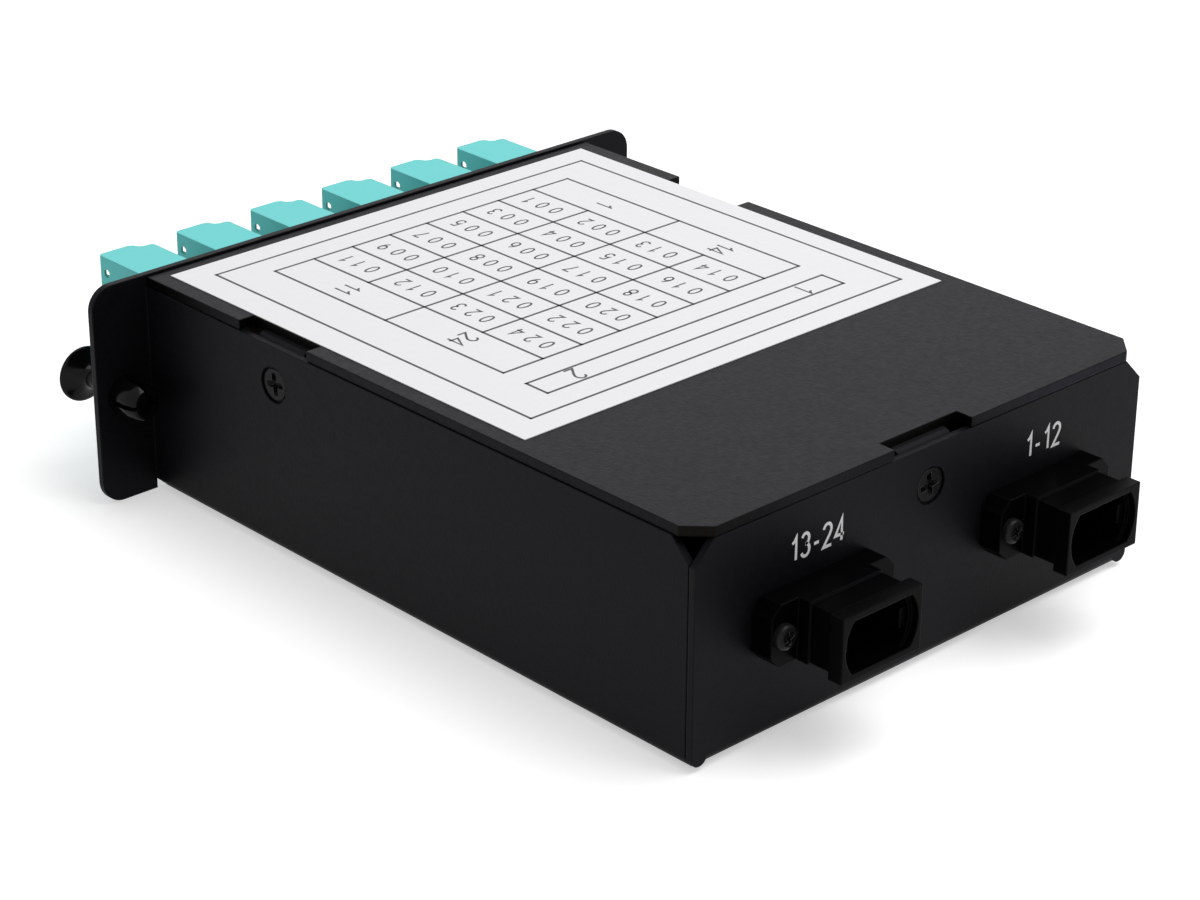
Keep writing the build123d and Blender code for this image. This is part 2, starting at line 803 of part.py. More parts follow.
def make_plunger(x):
    """Dished knob with a flared neck and a plain pin, drawn in the pulled position."""
    pin_radius = grommet_bore_radius - plunger_fit
    neck_y = -grommet_flange_thickness - plunger_travel
    rim_front = neck_y - plunger_head_length
    rim_back = rim_front + plunger_rim_thickness
    flare = (plunger_rim_radius + plunger_neck_radius) / 2 - plunger_neck_flare
    middle = rim_back + (neck_y - rim_back) / 3
    pin_end = tray_sheet + grommet_barrel_length
    knob = tapered(0, rim_front, rim_back, 0, 2 * plunger_rim_radius, 2 * plunger_rim_radius, turned_sides)
    knob += tapered(0, rim_back, middle, 0, 2 * plunger_rim_radius, 2 * flare, turned_sides)
    knob += tapered(0, middle, neck_y, 0, 2 * flare, 2 * plunger_neck_radius, turned_sides)
    dish_width = 2 * (plunger_rim_radius - plunger_rim_thickness)
    dish_end = rim_front + plunger_dish
    knob -= tapered(0, rim_front, dish_end, 0, dish_width, 2 * plunger_neck_radius, turned_sides)
    knob += tapered(0, neck_y, pin_end, 0, 2 * pin_radius, 2 * pin_radius, pin_sides)
    return Pos(x, y_front, latch_centre_z) * knob


# ---- write every node ---------------------------------------------------------------------------------------
os.makedirs("parts", exist_ok=True)

save(make_tray(), "tray")
save(make_lid(), "lid")
save(make_label(), "label")
save(Compound(children=[place * make_lid_screw() for place in wall_screws()]), "lid_screws")

sleeves = []
boots = []
for number, x in enumerate(adapter_centres, start=1):
    port_x = x + port_axis_offset
    block_x = mpo_centres[0] if number <= adapter_count / 2 else mpo_centres[1]
    column = (number - 1) % 3
    save(make_adapter_front(x), f"lc_adapter_{number}")
    save(make_adapter_rear(x), f"lc_adapter_rear_{number}")
    save(make_adapter_clip(x), f"adapter_clip_{number}")
    save(Compound(children=[make_lc_plug(port_x, z) for z in port_heights]), f"lc_plugs_{number}")
    fibres = [make_fibre(port_x, z, block_x, row, column) for row, z in enumerate(port_heights)]
    save(Compound(children=fibres), f"fibres_{number}")
    sleeves += [make_sleeve(port_x, z) for z in port_heights]
    boots += [make_lc_boot(port_x, z) for z in port_heights]
save(Compound(children=sleeves), "sleeves")
save(Compound(children=boots), "lc_boots")

screws = []
nuts = []
for side, x in zip(("left", "right"), mpo_centres):
    save(make_mpo_outer(x), f"mpo_adapter_{side}")
    save(make_mpo_inner(x), f"mpo_inner_{side}")
    save(make_mpo_plug(x), f"mpo_plug_{side}")
    save(make_mpo_boot(x), f"mpo_boot_{side}")
    save(make_trunk(x), f"trunk_{side}")
    save(make_furcation(x), f"furcation_{side}")
    save(make_cradle(x), f"cradle_{side}")
    for hole in (mpo_hole_spacing / 2, -mpo_hole_spacing / 2):
        screws.append(make_mpo_screw(x + hole))
        nuts.append(make_mpo_nut(x + hole))
save(Compound(children=screws), "mpo_screws")
save(Compound(children=nuts), "mpo_nuts")

for side, x in (("left", latch_centre_x), ("right", -latch_centre_x)):
    save(make_grommet(x), f"grommet_{side}")
    save(make_plunger(x), f"plunger_{side}")
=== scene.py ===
import bpy
import bmesh
import math
from mathutils import Matrix, Vector
from mathutils.geometry import tessellate_polygon


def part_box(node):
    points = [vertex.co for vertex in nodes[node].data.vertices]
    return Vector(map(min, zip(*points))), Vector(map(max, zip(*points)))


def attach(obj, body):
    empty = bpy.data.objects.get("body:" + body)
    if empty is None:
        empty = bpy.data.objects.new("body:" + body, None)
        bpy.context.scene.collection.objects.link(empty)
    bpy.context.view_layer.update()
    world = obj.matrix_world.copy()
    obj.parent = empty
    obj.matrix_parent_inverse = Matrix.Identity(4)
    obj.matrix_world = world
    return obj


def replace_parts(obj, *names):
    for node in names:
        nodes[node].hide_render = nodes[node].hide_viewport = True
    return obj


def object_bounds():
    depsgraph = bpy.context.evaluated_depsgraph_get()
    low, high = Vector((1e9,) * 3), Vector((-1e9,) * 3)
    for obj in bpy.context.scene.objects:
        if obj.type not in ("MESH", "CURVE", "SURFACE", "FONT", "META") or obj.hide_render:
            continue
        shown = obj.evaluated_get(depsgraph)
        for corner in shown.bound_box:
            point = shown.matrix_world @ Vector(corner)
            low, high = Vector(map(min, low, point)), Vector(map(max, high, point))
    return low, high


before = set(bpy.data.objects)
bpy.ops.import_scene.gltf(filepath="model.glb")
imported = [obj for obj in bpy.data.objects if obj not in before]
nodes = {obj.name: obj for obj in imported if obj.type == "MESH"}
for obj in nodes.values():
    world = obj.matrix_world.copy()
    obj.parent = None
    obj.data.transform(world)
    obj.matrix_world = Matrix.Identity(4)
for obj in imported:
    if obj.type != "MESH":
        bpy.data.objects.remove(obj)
cad_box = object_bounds()

# Camera, floor and lamps.
# A long lens stands behind the cassette's left rear corner, as on a product table.
# The floor is white card; one broad soft lamp hangs overhead, and a second lies low beyond the face plate.
turn, tilt, roll = math.radians(136.676), math.radians(25.051), math.radians(0.353)
level = Vector((math.cos(turn), math.sin(turn), 0))
behind = Vector((math.sin(turn) * math.cos(tilt), -math.cos(turn) * math.cos(tilt), math.sin(tilt)))
upward = behind.cross(level)
side = math.cos(roll) * level + math.sin(roll) * upward
upward = math.cos(roll) * upward - math.sin(roll) * level
camera_data = bpy.data.cameras.new("camera")
camera_data.sensor_width = 36
camera_data.lens = 95.025
camera_data.clip_start = 0.01
camera = bpy.data.objects.new("camera", camera_data)
stand = Matrix((side, upward, behind)).transposed().to_4x4()
camera.matrix_world = Matrix.Translation((0.304067, 0.316077, 0.216797)) @ stand
bpy.context.scene.collection.objects.link(camera)
bpy.context.scene.camera = camera


def soft_lamp(name, place, aim, size, power):
    data = bpy.data.lights.new(name, "AREA")
    data.shape = "RECTANGLE"
    data.size, data.size_y = size
    data.energy = power
    lamp = bpy.data.objects.new(name, data)
    lamp.location = place
    lamp.rotation_euler = (Vector(aim) - Vector(place)).to_track_quat("-Z", "Y").to_euler()
    bpy.context.scene.collection.objects.link(lamp)
    return lamp


soft_lamp("overhead", (-0.3, 0.28, 1.0), (0, 0, 0), (0.8, 0.8), 7.2)
soft_lamp("beyond", (-0.9, -1.0, 0.75), (0, 0, 0.03), (0.9, 0.5), 1.5)
bpy.context.scene.view_settings.view_transform = "Standard"


def seen_directly(tree):
    """1 for rays that a viewer, a mirror or glass sends out, 0 for rays that only carry light."""
    rays = tree.nodes.new("ShaderNodeLightPath")
    total = rays.outputs["Is Camera Ray"]
    for name in ("Is Glossy Ray", "Is Transmission Ray"):
        either = tree.nodes.new("ShaderNodeMath")
        either.operation = "MAXIMUM"
        tree.links.new(total, either.inputs[0])
        tree.links.new(rays.outputs[name], either.inputs[1])
        total = either.outputs[0]
    return total


world = bpy.data.worlds.new("studio")
bpy.context.scene.world = world
world.use_nodes = True
sky = world.node_tree
sky.nodes.clear()
sky_out = sky.nodes.new("ShaderNodeOutputWorld")
sky_light = sky.nodes.new("ShaderNodeBackground")
sky_light.inputs["Color"].default_value = (1, 1, 1, 1)
sky_light.inputs["Strength"].default_value = 0.45
sky_white = sky.nodes.new("ShaderNodeBackground")
sky_white.inputs["Color"].default_value = (1, 1, 1, 1)
sky_white.inputs["Strength"].default_value = 1.0
sky_mix = sky.nodes.new("ShaderNodeMixShader")
sky.links.new(seen_directly(sky), sky_mix.inputs[0])
sky.links.new(sky_light.outputs[0], sky_mix.inputs[1])
sky.links.new(sky_white.outputs[0], sky_mix.inputs[2])
sky.links.new(sky_mix.outputs[0], sky_out.inputs["Surface"])

floor_mesh = bpy.data.meshes.new("floor")
floor_low = cad_box[0][2] - 0.00003
floor_mesh.from_pydata(
    [(-6, -6, floor_low), (6, -6, floor_low), (6, 6, floor_low), (-6, 6, floor_low)], [], [(0, 1, 2, 3)]
)
floor = bpy.data.objects.new("floor", floor_mesh)
bpy.context.scene.collection.objects.link(floor)
card = bpy.data.materials.new("white_card")
card.use_nodes = True
tree = card.node_tree
tree.nodes.clear()
card_out = tree.nodes.new("ShaderNodeOutputMaterial")
card_diffuse = tree.nodes.new("ShaderNodeBsdfDiffuse")
card_diffuse.inputs["Color"].default_value = (0.8, 0.8, 0.8, 1)
card_glow = tree.nodes.new("ShaderNodeEmission")
card_glow.inputs["Strength"].default_value = 0.47
card_sum = tree.nodes.new("ShaderNodeAddShader")
card_mix = tree.nodes.new("ShaderNodeMixShader")
tree.links.new(card_diffuse.outputs[0], card_sum.inputs[0])
tree.links.new(card_glow.outputs[0], card_sum.inputs[1])
tree.links.new(seen_directly(tree), card_mix.inputs[0])
tree.links.new(card_diffuse.outputs[0], card_mix.inputs[1])
tree.links.new(card_sum.outputs[0], card_mix.inputs[2])
tree.links.new(card_mix.outputs[0], card_out.inputs["Surface"])
floor_mesh.materials.append(card)


# Tray: 1.1 mm cold-rolled sheet, cut, folded into floor, walls and face plate, and powder coated black.
# The coat is a fine orange peel; its folded edges get a painted highlight, a slightly lighter black along them.
def noise_group(name, inputs, outputs):
    """An empty shader group with float inputs {name: default} and outputs {name: socket type}."""
    group = bpy.data.node_groups.new(name, "ShaderNodeTree")
    for label, value in inputs.items():
        socket = group.interface.new_socket(label, in_out="INPUT", socket_type="NodeSocketFloat")
        socket.default_value = value
    for label, kind in outputs.items():
        group.interface.new_socket(label, in_out="OUTPUT", socket_type=kind)
    return group, group.nodes.new("NodeGroupInput"), group.nodes.new("NodeGroupOutput")


def scaled_noise(group, coordinates, scale_socket, detail=2.0):
    noise = group.nodes.new("ShaderNodeTexNoise")
    noise.inputs["Detail"].default_value = detail
    group.links.new(coordinates, noise.inputs["Vector"])
    group.links.new(scale_socket, noise.inputs["Scale"])
    return noise.outputs["Fac"]


def blended(group, low_socket, high_socket, factor_socket):
    mix = group.nodes.new("ShaderNodeMix")
    mix.data_type = "FLOAT"
    group.links.new(factor_socket, mix.inputs[0])
    group.links.new(low_socket, mix.inputs[2])
    group.links.new(high_socket, mix.inputs[3])
    return mix.outputs[0]


grain, grain_in, grain_out = noise_group(
    "surface_grain",
    {"Fine Scale": 2500, "Broad Scale": 60, "Smooth": 0.35, "Rough": 0.5, "Dark": 0.9, "Light": 1.1},
    {"Height": "NodeSocketFloat", "Roughness": "NodeSocketFloat", "Tone": "NodeSocketFloat"},
)
place = grain.nodes.new("ShaderNodeTexCoord").outputs["Object"]
fine = scaled_noise(grain, place, grain_in.outputs["Fine Scale"])
broad = scaled_noise(grain, place, grain_in.outputs["Broad Scale"], 4.0)
grain.links.new(fine, grain_out.inputs["Height"])
for low, high, result in (("Smooth", "Rough", "Roughness"), ("Dark", "Light", "Tone")):
    mixed = blended(grain, grain_in.outputs[low], grain_in.outputs[high], broad)
    grain.links.new(mixed, grain_out.inputs[result])


# Painted edge highlight: where a bevelled normal turns away from the true one, a mask marks the edges so that a
# material can lighten its colour there. The bevelled normal also rounds the edges' shading.
edge, edge_in, edge_out = noise_group(
    "edge_highlight_and_rounding",
    {"Radius": 0.0003, "Sharpness": 6.0},
    {"Edge": "NodeSocketFloat", "Normal": "NodeSocketVector"},
)
rounded = edge.nodes.new("ShaderNodeBevel")
rounded.samples = 4
edge.links.new(edge_in.outputs["Radius"], rounded.inputs["Radius"])
true_normal = edge.nodes.new("ShaderNodeNewGeometry").outputs["Normal"]
turned_away = edge.nodes.new("ShaderNodeVectorMath")
turned_away.operation = "DISTANCE"
edge.links.new(rounded.outputs["Normal"], turned_away.inputs[0])
edge.links.new(true_normal, turned_away.inputs[1])
sharpen = edge.nodes.new("ShaderNodeMath")
sharpen.operation = "MULTIPLY"
sharpen.use_clamp = True
edge.links.new(turned_away.outputs["Value"], sharpen.inputs[0])
edge.links.new(edge_in.outputs["Sharpness"], sharpen.inputs[1])
edge.links.new(sharpen.outputs[0], edge_out.inputs["Edge"])
edge.links.new(rounded.outputs["Normal"], edge_out.inputs["Normal"])


def grained_material(
    name, color, grain_values, bump=0.15, bump_height=0.00003, edge_highlight_color=None, edge_width=0.0003, **shader_values
):
    """A shader with the surface grain in its colour, roughness and bump, and if asked a painted edge highlight: a
    lighter colour along the edges, over rounded edge normals.
    """
    material = bpy.data.materials.new(name)
    material.use_nodes = True
    tree = material.node_tree
    shader = tree.nodes["Principled BSDF"]
    group = tree.nodes.new("ShaderNodeGroup")
    group.node_tree = grain
    for label, value in grain_values.items():
        group.inputs[label].default_value = value
    tone = tree.nodes.new("ShaderNodeMix")
    tone.data_type = "RGBA"
    tone.blend_type = "MULTIPLY"
    tone.inputs[0].default_value = 1.0
    tone.inputs[6].default_value = (*color, 1)
    tree.links.new(group.outputs["Tone"], tone.inputs[7])
    relief = tree.nodes.new("ShaderNodeBump")
    relief.inputs["Strength"].default_value = bump
    relief.inputs["Distance"].default_value = bump_height
    tree.links.new(group.outputs["Height"], relief.inputs["Height"])
    base = tone.outputs[2]
    # Painted highlight: the edge mask lightens the colour along the edges.
    if edge_highlight_color:
        edge_highlight_node = tree.nodes.new("ShaderNodeGroup")
        edge_highlight_node.node_tree = edge
        edge_highlight_node.inputs["Radius"].default_value = edge_width
        highlight_mix = tree.nodes.new("ShaderNodeMix")
        highlight_mix.data_type = "RGBA"
        highlight_mix.inputs[7].default_value = (*edge_highlight_color, 1)
        tree.links.new(edge_highlight_node.outputs["Edge"], highlight_mix.inputs[0])
        tree.links.new(base, highlight_mix.inputs[6])
        tree.links.new(edge_highlight_node.outputs["Normal"], relief.inputs["Normal"])
        base = highlight_mix.outputs[2]
    tree.links.new(base, shader.inputs["Base Color"])
    tree.links.new(group.outputs["Roughness"], shader.inputs["Roughness"])
    tree.links.new(relief.outputs["Normal"], shader.inputs["Normal"])
    for label, value in shader_values.items():
        shader.inputs[label].default_value = value
    return material


def dress(name, material):
    """Give a CAD node its finish."""
    data = nodes[name].data
    data.materials.clear()
    data.materials.append(material)


def like_nodes(prefix):
    return [name for name in nodes if name.startswith(prefix)]


tray_paint = grained_material(
    "tray_powder_coat",
    (0.0026, 0.0026, 0.0033),
    {"Fine Scale": 2600, "Broad Scale": 1100, "Smooth": 0.38, "Rough": 0.56, "Dark": 0.6, "Light": 1.4},
    bump=0.5,
    bump_height=0.00005,
    # Painted highlight: a slightly lighter black along the tray's edges.
    edge_highlight_color=(0.004, 0.004, 0.005),
    **{"Specular IOR Level": 0.076, "Specular Tint": (0.88, 0.9, 1.0, 1.0)},
)
dress("tray", tray_paint)


# Quad LC adapters: aqua glass-filled plastic, moulded in two halves that are welded at the face plate.
# A spring-steel band clips behind the plate, and white ceramic sleeves line up the fibres.
aqua = grained_material(
    "adapter_aqua",
    (0.088, 0.63, 0.62),
    {"Fine Scale": 1800, "Smooth": 0.34, "Rough": 0.46, "Dark": 0.96, "Light": 1.04},
    bump=0.1,
    # Painted highlight: a lighter aqua along the adapters' edges.
    edge_highlight_color=(0.16, 0.68, 0.65),
    **{"Specular IOR Level": 0.3},
)
for name in like_nodes("lc_adapter"):
    dress(name, aqua)

band_steel = grained_material(
    "band_steel",
    (0.55, 0.55, 0.56),
    {"Fine Scale": 900, "Smooth": 0.25, "Rough": 0.4, "Dark": 0.9, "Light": 1.05},
    bump=0.1,
    Metallic=1.0,
)
for name in like_nodes("adapter_clip"):
    dress(name, band_steel)

zirconia = grained_material(
    "sleeve_ceramic",
    (0.85, 0.85, 0.83),
    {"Fine Scale": 3000, "Smooth": 0.2, "Rough": 0.3, "Dark": 0.97, "Light": 1.0},
    bump=0.05,
)
dress("sleeves", zirconia)


# Inner harness: beige LC plugs with white boots, aqua fibres, and a furcation block in a nylon cradle.
# A short trunk runs from each block to the MPO plug in the rear wall.
plug_beige = grained_material(
    "plug_beige", (0.6, 0.52, 0.4), {"Smooth": 0.4, "Rough": 0.5, "Dark": 0.95, "Light": 1.03}, bump=0.08
)
boot_white = grained_material(
    "boot_white", (0.75, 0.75, 0.74), {"Smooth": 0.5, "Rough": 0.65, "Dark": 0.95, "Light": 1.0}, bump=0.1
)
jacket_aqua = grained_material(
    "jacket_aqua", (0.04, 0.46, 0.43), {"Smooth": 0.4, "Rough": 0.5, "Dark": 0.95, "Light": 1.03}, bump=0.05
)
nylon_natural = grained_material(
    "cradle_nylon", (0.72, 0.7, 0.62), {"Smooth": 0.45, "Rough": 0.6, "Dark": 0.96, "Light": 1.0}, bump=0.08
)
moulded_black = grained_material(
    "moulded_black",
    (0.0008, 0.0008, 0.0011),
    {"Fine Scale": 2200, "Smooth": 0.28, "Rough": 0.4, "Dark": 0.85, "Light": 1.15},
    bump=0.12,
    # Painted highlight: a slightly lighter black along the edges of the moulded parts.
    edge_highlight_color=(0.004, 0.004, 0.005),
    **{"Specular IOR Level": 0.03},
)
for name in like_nodes("lc_plugs"):
    dress(name, plug_beige)
dress("lc_boots", boot_white)
for name in like_nodes("fibres") + like_nodes("trunk"):
    dress(name, jacket_aqua)
for name in like_nodes("cradle"):
    dress(name, nylon_natural)
for name in like_nodes("furcation") + like_nodes("mpo_plug") + like_nodes("mpo_boot") + like_nodes("mpo_inner"):
    dress(name, moulded_black)


# MPO adapters: black plastic, a flanged outer half screwed through the rear wall.
# Each flange has two small pan-head screws with nuts behind the wall.
for name in like_nodes("mpo_adapter"):
    dress(name, moulded_black)
black_oxide = grained_material(
    "black_oxide_screw",
    (0.006, 0.006, 0.0065),
    {"Fine Scale": 3500, "Smooth": 0.2, "Rough": 0.34, "Dark": 0.7, "Light": 1.3},
    bump=0.15,
    # Painted glints: a thin, lighter grey along the screw heads' edges and cross recesses.
    edge_highlight_color=(0.1, 0.1, 0.103),
    edge_width=0.00005,
    Metallic=0.2,
    **{"Specular IOR Level": 0.06},
)
dress("mpo_screws", black_oxide)


def upright_frame(origin, outward):
    """A frame at a point with local +Z along outward and local +Y as near up as it can be."""
    z = Vector(outward).normalized()
    x = Vector((0, 0, 1)).cross(z).normalized()
    y = z.cross(x)
    return Matrix.Translation(origin) @ Matrix((x, y, z)).transposed().to_4x4()


def cross_recess_head(rings, flat_radius, arm, width, depth, turn, sides=48):
    """A screw head with a tapered cross cut in its flat middle.
    rings are (radius, height) from the back of the head outwards; the last is the flat's own height."""
    vertices, faces = [], []
    turns = [2 * math.pi * k / sides for k in range(sides)]
    for radius, height in rings + [(flat_radius, rings[-1][1])]:
        vertices += [(radius * math.cos(a), radius * math.sin(a), height) for a in turns]
    for ring in range(len(rings)):
        for k in range(sides):
            a, b = ring * sides + k, ring * sides + (k + 1) % sides
            faces.append([a, b, b + sides, a + sides])
    top = rings[-1][1]
    crosses = []
    floor_reach, floor_half = arm * 0.55, width / 3.2
    for reach, half, height in ((arm, width / 2, top), (floor_reach, floor_half, top - depth)):
        ring = []
        for quarter in range(4):
            angle = turn - quarter * math.pi / 2
            c, s = math.cos(angle), math.sin(angle)
            for x, y in ((half, half), (reach, half), (reach, -half)):
                ring.append((x * c - y * s, x * s + y * c, height))
        crosses.append(ring[::-1])
    first = len(vertices)
    for ring in crosses:
        vertices += ring
    count = len(crosses[0])
    for k in range(count):
        a, b = first + k, first + (k + 1) % count
        faces.append([a, b, b + count, a + count])
    faces.append([first + count + k for k in range(count)])
    outer = [first - sides + k for k in range(sides)]
    inner = [first + k for k in range(count)]
    loops = [[Vector(vertices[i]) for i in outer], [Vector(vertices[i]) for i in inner]]
    flat = outer + inner
    for triangle in tessellate_polygon(loops):
        faces.append([flat[i] for i in triangle])
    return vertices, faces


def turned_bar(radius, start, end, sides=32):
    """A plain round bar along local Z, closed at its start."""
    turns = [2 * math.pi * k / sides for k in range(sides)]
    vertices = [(radius * math.cos(a), radius * math.sin(a), z) for z in (start, end) for a in turns]
    faces = [[k, (k + 1) % sides, sides + (k + 1) % sides, sides + k] for k in range(sides)]
    faces.append(list(range(sides))[::-1])
    return vertices, faces


def placed_piece(name, parts, material, body="cassette", smooth_angle=40):
    """One mesh from (vertices, faces, matrix) parts, outward normals, smooth where the surface turns gently."""
    mesh = bpy.data.meshes.new(name)
    vertices, faces = [], []
    for part_vertices, part_faces, matrix in parts:
        first = len(vertices)
        vertices += [tuple(matrix @ Vector(v)) for v in part_vertices]
        faces += [[first + i for i in face] for face in part_faces]
    mesh.from_pydata(vertices, [], faces)
    shape = bmesh.new()
    shape.from_mesh(mesh)
    bmesh.ops.remove_doubles(shape, verts=shape.verts, dist=1e-7)
    bmesh.ops.recalc_face_normals(shape, faces=shape.faces)
    for face in shape.faces:
        face.smooth = True
    for link in shape.edges:
        if len(link.link_faces) != 2 or link.calc_face_angle(0) > math.radians(smooth_angle):
            link.smooth = False
    shape.to_mesh(mesh)
    shape.free()
    mesh.materials.append(material)
    piece = bpy.data.objects.new(name, mesh)
    bpy.context.scene.collection.objects.link(piece)
    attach(piece, body)
    return piece


pan_radius, pan_height, pan_seat = 0.00185, 0.0013, 0.0038
pan_shank_radius, hole_offset = 0.001, 0.010
pan_rings = [
    (pan_radius, 0),
    (pan_radius, 0.5 * pan_height),
    (0.97 * pan_radius, 0.72 * pan_height),
    (0.88 * pan_radius, 0.88 * pan_height),
    (0.72 * pan_radius, 0.97 * pan_height),
    (0.62 * pan_radius, pan_height),
]
pan_head = cross_recess_head(pan_rings, 0.6 * pan_radius, 0.56 * pan_radius, 0.25 * pan_radius, 0.0008, 0.3)
pan_parts = []
for adapter in ("mpo_adapter_left", "mpo_adapter_right"):
    low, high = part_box(adapter)
    for across in (-hole_offset, hole_offset):
        seat = Vector(((low.x + high.x) / 2 + across, low.y + pan_seat, (low.z + high.z) / 2))
        stand = upright_frame(seat, (0, 1, 0))
        shank = turned_bar(pan_shank_radius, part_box("mpo_screws")[0].y - seat.y, 0.0)
        pan_parts += [(*pan_head, stand), (*shank, stand)]
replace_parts(placed_piece("mpo_pan_screws", pan_parts, black_oxide), "mpo_screws")
zinc = grained_material(
    "nut_zinc", (0.6, 0.61, 0.62), {"Smooth": 0.3, "Rough": 0.45, "Dark": 0.9, "Light": 1.05}, Metallic=1.0
)
dress("mpo_nuts", zinc)


# Lid: 1.5 mm sheet in the same black powder coat, on three angle brackets spot-welded under its notches.
# A flat-head screw through each side wall and the rear wall holds it by them.
# Painted light: this copy of the tray's coat has a lighter, bluer colour and a little more specular, so the lid's top
# reads lighter than the walls.
lid_paint = grained_material(
    "lid_powder_coat",
    (0.0034, 0.0034, 0.0046),
    {"Fine Scale": 2600, "Broad Scale": 1100, "Smooth": 0.36, "Rough": 0.56, "Dark": 0.6, "Light": 1.4},
    bump=0.5,
    bump_height=0.00006,
    # Painted highlight: a slightly lighter black along the lid's edges.
    edge_highlight_color=(0.007, 0.007, 0.008),
    **{"Specular IOR Level": 0.08, "Specular Tint": (0.86, 0.89, 1.0, 1.0)},
)

# The lid's narrow side faces, those whose normal lies within 30 degrees of level, get a fully metallic finish with a
# near-black colour in place of the paint, which renders them darker.
side_group, _, side_group_out = noise_group("lid_side_face_mask", {}, {"Side Face": "NodeSocketFloat"})
facing = side_group.nodes.new("ShaderNodeSeparateXYZ")
side_group.links.new(side_group.nodes.new("ShaderNodeTexCoord").outputs["Normal"], facing.inputs[0])
upward_share = side_group.nodes.new("ShaderNodeMath")
upward_share.operation = "ABSOLUTE"
side_group.links.new(facing.outputs["Z"], upward_share.inputs[0])
on_edge = side_group.nodes.new("ShaderNodeMath")
on_edge.operation = "LESS_THAN"
edge_slope = 0.5
on_edge.inputs[1].default_value = edge_slope
side_group.links.new(upward_share.outputs[0], on_edge.inputs[0])
side_group.links.new(on_edge.outputs[0], side_group_out.inputs["Side Face"])

lid_tree = lid_paint.node_tree
lid_shader = lid_tree.nodes["Principled BSDF"]
side_face_node = lid_tree.nodes.new("ShaderNodeGroup")
side_face_node.node_tree = side_group
side_or_paint_colour = lid_tree.nodes.new("ShaderNodeMix")
side_or_paint_colour.data_type = "RGBA"
side_or_paint_colour.inputs[7].default_value = (0.0068, 0.0061, 0.005, 1)
lid_tree.links.new(side_face_node.outputs["Side Face"], side_or_paint_colour.inputs[0])
lid_tree.links.new(lid_shader.inputs["Base Color"].links[0].from_socket, side_or_paint_colour.inputs[6])
lid_tree.links.new(side_or_paint_colour.outputs[2], lid_shader.inputs["Base Color"])
# The side faces are made fully metallic, so they reflect almost nothing.
lid_tree.links.new(side_face_node.outputs["Side Face"], lid_shader.inputs["Metallic"])
dress("lid", lid_paint)
dress("lid_screws", black_oxide)

sink, head_radius, shank_radius, wall = 0.00025, 0.0025, 0.00125, 0.0011
screws_low, screws_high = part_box("lid_screws")
screw_height = (screws_low.z + screws_high.z) / 2
flat_rings = [(shank_radius, -wall), (head_radius, -sink - 0.00012), (0.96 * head_radius, -sink)]
flat_head = cross_recess_head(flat_rings, 0.86 * head_radius, 0.76 * head_radius, 0.42 * head_radius, 0.0008, 0.15)
flat_parts = []
for place, outward in (
    ((screws_high.x + sink, screws_low.y + head_radius, screw_height), (1, 0, 0)),
    ((screws_low.x - sink, screws_low.y + head_radius, screw_height), (-1, 0, 0)),
    ((0, screws_high.y + sink, screw_height), (0, 1, 0)),
):
    stand = upright_frame(Vector(place), outward)
    flat_parts += [(*flat_head, stand), (*turned_bar(shank_radius, -wall - 0.005, -wall), stand)]
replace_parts(placed_piece("lid_flat_screws", flat_parts, black_oxide), "lid_screws")


# Label: white uncoated paper with a self-adhesive back, laser printed with a plain port table.
# The numbers read towards the face plate, with their tops to the cassette's left.
paper = grained_material(
    "label_paper",
    (0.84, 0.84, 0.86),
    {"Fine Scale": 1400, "Broad Scale": 500, "Smooth": 0.6, "Rough": 0.75, "Dark": 0.975, "Light": 1.01},
    bump=0.1,
)
dress("label", paper)
ink = grained_material(
    "toner", (0.02, 0.02, 0.022), {"Smooth": 0.45, "Rough": 0.6, "Dark": 0.9, "Light": 1.3}, bump=0.05
)

print_lift = 0.00001
print_z = Vector(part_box("label")[1]).z + print_lift
face_plate_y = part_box("tray")[0][1]


def flat_piece(name, vertices, faces, material, body="cassette"):
    mesh = bpy.data.meshes.new(name)
    mesh.from_pydata(vertices, [], faces)
    mesh.materials.append(material)
    piece = bpy.data.objects.new(name, mesh)
    bpy.context.scene.collection.objects.link(piece)
    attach(piece, body)
    return piece


def ruled_lines(name, lines, width, height, material):
    """Printed straight lines: each ((x0, y0), (x1, y1)) in metres, as thin flat strips."""
    vertices, faces = [], []
    for (x0, y0), (x1, y1) in lines:
        along = Vector((x1 - x0, y1 - y0, 0)).normalized() * width / 2
        across = Vector((-along.y, along.x, 0))
        first = len(vertices)
        a, b = Vector((x0, y0, height)) - along, Vector((x1, y1, height)) + along
        vertices += [a - across, b - across, b + across, a + across]
        faces.append([first, first + 1, first + 2, first + 3])
    return flat_piece(name, [tuple(v) for v in vertices], faces, material)


def frame_lines(x0, x1, y0, y1):
    return [((x0, y0), (x1, y0)), ((x1, y0), (x1, y1)), ((x1, y1), (x0, y1)), ((x0, y1), (x0, y0))]


def on_plate(value):
    """A distance in millimetres behind the face plate, as a Y in metres."""
    return face_plate_y + value / 1000


line_width = 0.00046
border = frame_lines(-0.0387, 0.0376, on_plate(8.0), on_plate(80.0))
strip = frame_lines(-0.0310, 0.0301, on_plate(70.65), on_plate(75.2))
table_x0, table_x1, table_y0, table_y1 = -0.0311, 0.0300, on_plate(12.85), on_plate(65.7)
column = (table_x1 - table_x0) / 8
row = (table_y1 - table_y0) / 4
table_lines = frame_lines(table_x0, table_x1, table_y0, table_y1)
table_lines += [((table_x0 + i * column, table_y0), (table_x0 + i * column, table_y1)) for i in range(1, 8)]
table_lines += [((table_x0 + column, table_y0 + i * row), (table_x1 - column, table_y0 + i * row)) for i in (1, 3)]
table_lines += [((table_x0, table_y0 + 2 * row), (table_x1, table_y0 + 2 * row))]
ruled_lines("label_lines", border + strip + table_lines, line_width, print_z, ink)


